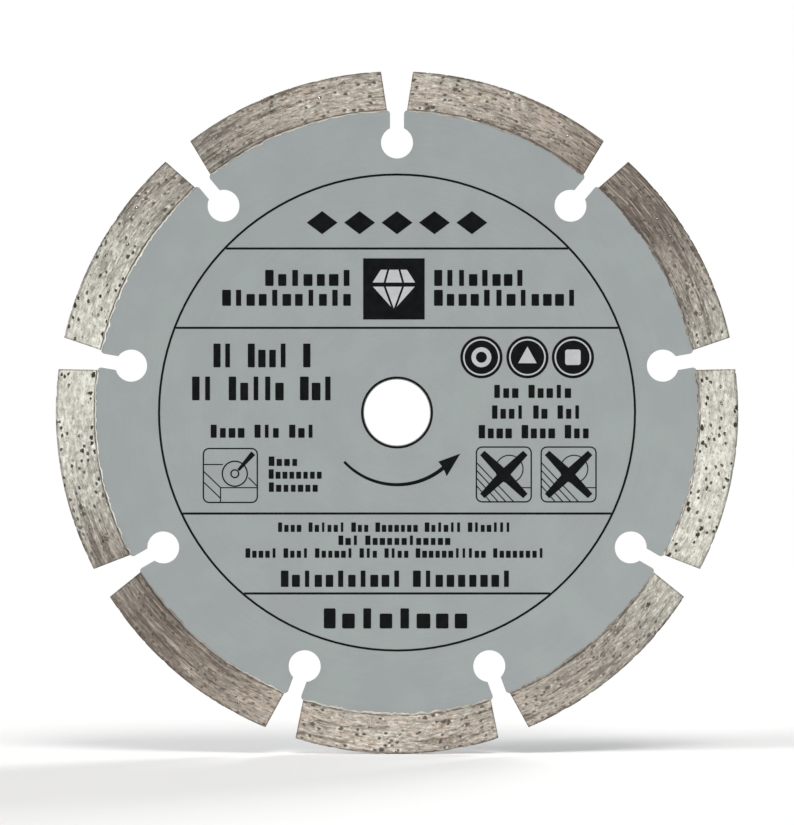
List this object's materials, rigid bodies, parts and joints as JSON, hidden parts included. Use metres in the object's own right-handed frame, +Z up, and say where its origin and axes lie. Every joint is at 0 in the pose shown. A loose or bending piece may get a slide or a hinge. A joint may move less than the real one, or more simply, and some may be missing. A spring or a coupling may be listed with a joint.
{
  "type": "diamond blade",
  "caption": "Segmented diamond cutting blade: a flat round steel core with a plain bore and keyhole slots, its rim divided into sintered segments set with diamond grit.",
  "frame": {"origin": "centre of the bore, on the mid-plane of the core", "axes": "+Y along the bore, from the printed side to the plain side; +Z up through one keyhole slot, the blade standing on edge; +X to the right as seen from the printed side"},
  "size_m": [0.23, 0.0028, 0.2297],
  "materials": {
    "core_lacquer": "satin",
    "sintered_matrix": "matte",
    "bond_metal": "matte",
    "diamond": "gloss"
  },
  "bodies": {
    "root": {"steel_core": "core_lacquer", "segment_1": "sintered_matrix", "bond_layer_1": "bond_metal", "diamond_grit_1": "diamond", "segment_2": "sintered_matrix", "bond_layer_2": "bond_metal", "diamond_grit_2": "diamond", "segment_3": "sintered_matrix", "bond_layer_3": "bond_metal", "diamond_grit_3": "diamond", "segment_4": "sintered_matrix", "bond_layer_4": "bond_metal", "diamond_grit_4": "diamond", "segment_5": "sintered_matrix", "bond_layer_5": "bond_metal", "diamond_grit_5": "diamond", "segment_6": "sintered_matrix", "bond_layer_6": "bond_metal", "diamond_grit_6": "diamond", "segment_7": "sintered_matrix", "bond_layer_7": "bond_metal", "diamond_grit_7": "diamond", "segment_8": "sintered_matrix", "bond_layer_8": "bond_metal", "diamond_grit_8": "diamond", "segment_9": "sintered_matrix", "bond_layer_9": "bond_metal", "diamond_grit_9": "diamond"}
  },
  "joints": []
}
